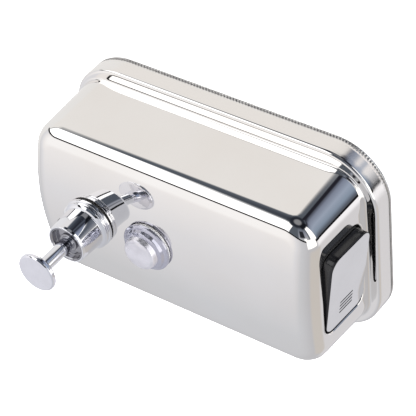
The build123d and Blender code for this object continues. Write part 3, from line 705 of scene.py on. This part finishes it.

# return spring between the cylinder and the piston (it shortens as the plunger goes in), built here at one
# length
spring_skin = Skin()
spring_rows = SPRING_TURNS * SPRING_ROWS_PER_TURN
coils = []
for k in range(spring_rows + 1):
    s = k / spring_rows
    a = 2 * pi * SPRING_TURNS * s
    out = SPRING_REAR + (SPRING_FRONT - SPRING_REAR) * s
    coils.append([((SPRING_R + SPRING_WIRE_R * cos(b)) * cos(a),
                   -FACE_DEPTH - out - SPRING_WIRE_R * sin(b),
                   PUMP_Z + (SPRING_R + SPRING_WIRE_R * cos(b)) * sin(a))
                  for b in (2 * pi * j / SPRING_SIDES for j in range(SPRING_SIDES))])
made_coils = spring_skin.loft(coils)
spring_skin.cap(made_coils[0])
spring_skin.cap(made_coils[-1])
spring = spring_skin.object("coil_spring")
tidy_mesh(spring)
smooth(spring, 60)
spring.data.materials.append(looks["spring_steel"])
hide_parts("return_spring")
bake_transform(spring)

glass = turn("sight_lens", rounded_profile(GLASS_PROFILE, 6), GLASS_Z)
finish_piece(glass, "dispenser", "clear_acrylic", looks["clear_acrylic"], "sight_glass")


def lid_loop(inset, level):
    """Outline of the lid's plate at a level, drawn in by the inset."""
    return in_frame(rest_frame, rounded_rectangle(
        LID_W - 2 * inset, LID_D - 2 * inset, LID_R - inset), level)


cover_skin = Skin()
cover_rings = []
for k in range(LID_LIP_ROWS + 1):
    rise = LID_LIP * (1 - sin(pi / 2 * k / LID_LIP_ROWS))
    cover_rings.append(lid_loop(rise, LID_PROUD - LID_SHEET + rise))
for k in range(LID_EDGE_ROWS + 1):
    a = pi / 2 * k / LID_EDGE_ROWS
    cover_rings.append(lid_loop(LID_EDGE * (1 - cos(a)), LID_PROUD - LID_EDGE * (1 - sin(a))))
for inset in (LID_EDGE + 0.15, LID_EDGE + 0.4):
    cover_rings.append(lid_loop(inset, LID_PROUD))
made_rings = cover_skin.loft(cover_rings)
cover_skin.cap(made_rings[0])
cover_skin.cap(made_rings[-1])
cover = cover_skin.object("lid_shell")
tidy_mesh(cover)
for number in range(GRIP_COUNT):
    groove_skin = Skin()
    rings = []
    radius = GRIP_WIDTH / 2
    reach = GRIP_LENGTH / 2 - radius
    centre = Vector((GRIP_X + (number - (GRIP_COUNT - 1) / 2) * GRIP_PITCH, 0,
                     LID_PROUD + radius - GRIP_CUT))
    profile = [(radius * sin(a), -reach - radius * cos(a)) for a in (pi / 2 * k / 6 for k in range(7))]
    profile += [(r, -y) for r, y in reversed(profile)]
    for r, y in profile:
        if r < 1e-6:
            rings.append([tuple(rest_frame @ (centre + Vector((0, y, 0))))])
        else:
            rings.append([tuple(rest_frame @ (centre + Vector((r * cos(a), y, r * sin(a)))))
                          for a in (pi * k / 12 for k in range(24))])
    groove_skin.loft(rings)
    groove = groove_skin.object("groove")
    tidy_mesh(groove)
    cut(cover, groove)
smooth(cover, 35)
finish_piece(cover, "lid", "chrome_lid", looks["chrome_lid"], "lid_cover")

# CAD nodes that stay get their slot's material
node_slots = {
    "wall_bracket": "brushed_steel", "back_plate": "brushed_steel", "hanger_straps": "brushed_steel",
    "housing_gasket": "black_rubber", "pump_washer": "black_rubber", "pump_nut": "white_plastic",
    "stem_seal": "black_rubber", "pump_cylinder": "white_plastic", "outlet_nozzle": "nozzle_plastic",
    "intake_valve": "white_plastic", "dip_tube": "tube_plastic",
    "piston": "white_plastic", "piston_seal": "black_rubber", "inlet_ball": "spring_steel",
    "sight_gasket": "grey_rubber", "sight_washer": "black_rubber", "sight_nut": "white_plastic",
    "filler_collar": "black_plastic", "collar_gasket": "black_rubber", "hinge_pin": "spring_steel",
    "lid_liner": "lid_plastic", "lid_gasket": "black_rubber",
}
for node, slot_name in node_slots.items():
    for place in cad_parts[node].material_slots:
        place.material = looks[slot_name]

# ------------------------------------------------------------------ floor, lights, world
FLOOR_Z, FLOOR_HALF = -0.55, 6.0
floor_mesh = bpy.data.meshes.new("floor")
floor_mesh.from_pydata([(-FLOOR_HALF, -FLOOR_HALF, FLOOR_Z), (FLOOR_HALF, -FLOOR_HALF, FLOOR_Z),
                        (FLOOR_HALF, FLOOR_HALF, FLOOR_Z), (-FLOOR_HALF, FLOOR_HALF, FLOOR_Z)], [],
                       [(0, 1, 2, 3)])
floor = bpy.data.objects.new("floor", floor_mesh)
bpy.context.scene.collection.objects.link(floor)
floor.data.materials.append(material("floor_paper", (0.95, 0.95, 0.95), 0.0, 0.9, vary=0.01,
                                     vary_scale=2, rough_vary=0.03, Specular_IOR_Level=0.0))
floor.visible_glossy = False


def lamp(name, place, aim, width, height, watts, colour=(1, 1, 1)):
    data = bpy.data.lights.new(name, "AREA")
    data.shape = "RECTANGLE"
    data.size, data.size_y = width, height
    data.energy = watts
    data.color = colour
    made = bpy.data.objects.new(name, data)
    made.location = place
    made.rotation_euler = (Vector(aim) - Vector(place)).to_track_quat("-Z", "Y").to_euler()
    bpy.context.scene.collection.objects.link(made)
    made.visible_glossy = False
    return made


lamp("top_soft", (0.2, -0.4, 1.8), (0, 0, -0.5), 2.5, 2.5, 160)
lamp("key_soft", (-1.3, -1.1, 0.6), (0, 0, 0), 1.0, 1.0, 18)


# ------------------------------------------------------------------ studio seen in the polished steel
world = bpy.data.worlds.new("studio")
bpy.context.scene.world = world
world.use_nodes = True
wt = world.node_tree
wt.nodes.clear()


def wmath(operation, a, b=None):
    made = wt.nodes.new("ShaderNodeMath")
    made.operation = operation
    for i, value in enumerate((a, b)):
        if value is None:
            continue
        if isinstance(value, (int, float)):
            made.inputs[i].default_value = value
        else:
            wt.links.new(value, made.inputs[i])
    return made.outputs[0]


def ease(value, low, high):
    """Smooth step from 0 at low to 1 at high; low may be above high."""
    made = wt.nodes.new("ShaderNodeMapRange")
    made.interpolation_type = "SMOOTHSTEP"
    flip = low > high
    wt.links.new(value, made.inputs["Value"])
    made.inputs["From Min"].default_value = min(low, high)
    made.inputs["From Max"].default_value = max(low, high)
    made.inputs["To Min"].default_value = 1.0 if flip else 0.0
    made.inputs["To Max"].default_value = 0.0 if flip else 1.0
    return made.outputs["Result"]


def toward(direction):
    """Cosine between the ray and a direction."""
    made = wt.nodes.new("ShaderNodeVectorMath")
    made.operation = "DOT_PRODUCT"
    wt.links.new(ray, made.inputs[0])
    made.inputs[1].default_value = Vector(direction).normalized()
    return made.outputs["Value"]


def over(base, colour, mask):
    made = wt.nodes.new("ShaderNodeMix")
    made.data_type = "RGBA"
    made.blend_type = "MIX"
    wt.links.new(mask, made.inputs["Factor"])
    sockets = [s for s in made.inputs if s.type == "RGBA"]
    for socket, value in zip(sockets, (base, colour)):
        if isinstance(value, tuple):
            socket.default_value = (*value, 1)
        else:
            wt.links.new(value, socket)
    return [s for s in made.outputs if s.type == "RGBA"][0]


def zone(azimuth, half, low, high, soft=3.0):
    """Mask of a soft-edged part of the sky, in degrees round the object's -X and above its horizon."""
    a = radians(azimuth)
    ahead, beside = toward((0, -cos(a), sin(a))), toward((0, sin(a), cos(a)))
    turned = wmath("ABSOLUTE", wmath("ARCTAN2", beside, ahead))
    wide = ease(turned, radians(half + soft), radians(half - soft))
    tall = wmath("MULTIPLY", ease(lift, radians(low - soft), radians(low + soft)),
                 ease(lift, radians(high + soft), radians(high - soft)))
    return wmath("MULTIPLY", wide, tall)


def graded(value, *stops):
    """Colour that runs through (position, (r, g, b)) stops."""
    made = wt.nodes.new("ShaderNodeValToRGB")
    wt.links.new(value, made.inputs["Fac"])
    ramp = made.color_ramp
    while len(ramp.elements) < len(stops):
        ramp.elements.new(0.5)
    for element, (place, colour) in zip(ramp.elements, stops):
        element.position = place
        element.color = (*colour, 1)
    return made.outputs["Color"]


def by_height(*stops):
    """Colour that runs through (degrees above the horizon, (r, g, b)) stops."""
    return graded(wmath("MULTIPLY", lift, 2 / pi), *((place / 90, colour) for place, colour in stops))


def bearing(azimuth, elevation):
    a, e = radians(azimuth), radians(elevation)
    return -sin(e), -cos(a) * cos(e), sin(a) * cos(e)


coords = wt.nodes.new("ShaderNodeTexCoord")
ray = coords.outputs["Generated"]
lift = wmath("ARCSINE", toward((-1, 0, 0)))   # the studio's up is the object's -X

# white table, brightest where it sweeps up at the front left
TABLE = ((0.0, (0.56, 0.56, 0.585)), (0.5, (0.64, 0.65, 0.68)), (0.656, (0.73, 0.725, 0.75)),
         (0.766, (0.79, 0.79, 0.82)), (0.891, (0.93, 0.905, 0.90)), (0.97, (1.02, 1.005, 1.0)))
ground = graded(toward(bearing(-34, 5)), *TABLE)
ground = over(ground, (0.62, 0.585, 0.55), zone(92, 32, -70, -22, 9))
ground = over(ground, (0.70, 0.69, 0.71), zone(150, 34, -75, -16, 8))
ground = over(ground, (1.02, 1.01, 1.04), zone(138, 34, -17, 3, 7))

# the darker room, the white backdrop behind and the softboxes; each zone is placed by the direction
# in which the steel reflects it at the camera's angle
room = over((0.10, 0.115, 0.14), (0.022, 0.025, 0.035), ease(lift, radians(58), radians(68)))
grey_wall = by_height((16, (0.52, 0.53, 0.55)), (24, (0.45, 0.46, 0.49)), (38, (0.31, 0.33, 0.39)),
                      (58, (0.15, 0.17, 0.21)), (66, (0.05, 0.055, 0.07)))
room = over(room, grey_wall, zone(45, 24, 14, 66, 4))
room = over(room, (0.009, 0.010, 0.014), zone(88, 36, 58, 78, 6))
room = over(room, (0.25, 0.255, 0.27), ease(lift, radians(73), radians(81)))
slate = by_height((0, (0.02, 0.022, 0.028)), (4, (0.08, 0.088, 0.105)), (10, (0.115, 0.135, 0.175)),
                  (20, (0.25, 0.31, 0.40)), (36, (0.34, 0.395, 0.50)), (50, (0.22, 0.25, 0.33)),
                  (57, (0.03, 0.033, 0.045)))
room = over(room, (0.90, 0.87, 0.86), zone(152, 26, -12, 52, 2))
room = over(room, slate, zone(119, 12, -4, 34, 1.5))
room = over(room, slate, zone(124, 18, 30, 52, 2))
room = over(room, slate, zone(139, 32, 42, 60, 2))
room = over(room, (0.018, 0.018, 0.026), zone(166, 8, 50, 66, 4))
room = over(room, (0.022, 0.023, 0.03), zone(39, 12, 28, 52, 3))
room = over(room, (1.5, 1.5, 1.5), zone(91, 14, 10, 58, 3))
room = over(room, (1.4, 1.4, 1.4), zone(51, 6, 6, 26, 2.5))
room = over(room, (0.86, 0.835, 0.81), zone(-135, 49, -30, 56.5, 2.5))
room = over(room, (1.6, 1.6, 1.6), zone(-50, 32, 24, 60, 3))
TABLE_TILT, TILT_BEARING, EDGE_SOFT = radians(13), radians(34), 0.012
tilt = toward((-cos(TABLE_TILT), sin(TABLE_TILT) * cos(TILT_BEARING), sin(TABLE_TILT) * sin(TILT_BEARING)))
horizon = sin(TABLE_TILT)
sky = over(ground, room, ease(tilt, horizon - EDGE_SOFT, horizon + EDGE_SOFT))
sky = over(sky, (0.86, 0.85, 0.84), zone(-124, 40, -35, 30, 6))
edge_line = ease(wmath("ABSOLUTE", wmath("SUBTRACT", tilt, horizon)), 0.058, 0.040)
edge_line = wmath("MULTIPLY", edge_line, wmath("SUBTRACT", 1.0, zone(-150, 60, -50, 50, 5)))
sky = over(sky, (0.008, 0.008, 0.01), edge_line)
sky = over(sky, (1.7, 1.68, 1.62), zone(74, 22, -10, 19, 3))

paths = wt.nodes.new("ShaderNodeLightPath")
sky_light = wt.nodes.new("ShaderNodeBackground")
wt.links.new(sky, sky_light.inputs["Color"])
plain = wt.nodes.new("ShaderNodeBackground")
plain.inputs["Color"].default_value = (1, 1, 1, 1)
pick = wt.nodes.new("ShaderNodeMixShader")
wt.links.new(paths.outputs["Is Camera Ray"], pick.inputs[0])
wt.links.new(sky_light.outputs[0], pick.inputs[1])
wt.links.new(plain.outputs[0], pick.inputs[2])
output = wt.nodes.new("ShaderNodeOutputWorld")
wt.links.new(pick.outputs[0], output.inputs["Surface"])

# ------------------------------------------------------------------ camera
AZIMUTH, ELEVATION, ROLL = -48.56, 28.29, 111.95     # degrees; azimuth 0 looks along +Y
TARGET = Vector((-3.9, -31.0, -0.4)) * MM
DISTANCE = 1.0756
LENS, SENSOR = 168.6, 36.0

azimuth, elevation, roll = radians(AZIMUTH), radians(ELEVATION), radians(ROLL)
away = Vector((sin(azimuth) * cos(elevation), -cos(azimuth) * cos(elevation), sin(elevation)))
level = Vector((0, 0, 1)).cross(away).normalized()
above = away.cross(level)
right = level * cos(roll) + above * sin(roll)
up = away.cross(right)
camera_data = bpy.data.cameras.new("camera")
camera_data.lens, camera_data.sensor_width = LENS, SENSOR
camera_data.clip_start, camera_data.clip_end = 0.05, 50
camera = bpy.data.objects.new("camera", camera_data)
bpy.context.scene.collection.objects.link(camera)
camera.matrix_world = Matrix.Translation(TARGET + away * DISTANCE) @ Matrix(
    (right, up, away)).transposed().to_4x4()
bpy.context.scene.camera = camera
bpy.context.scene.view_settings.view_transform = "Standard"
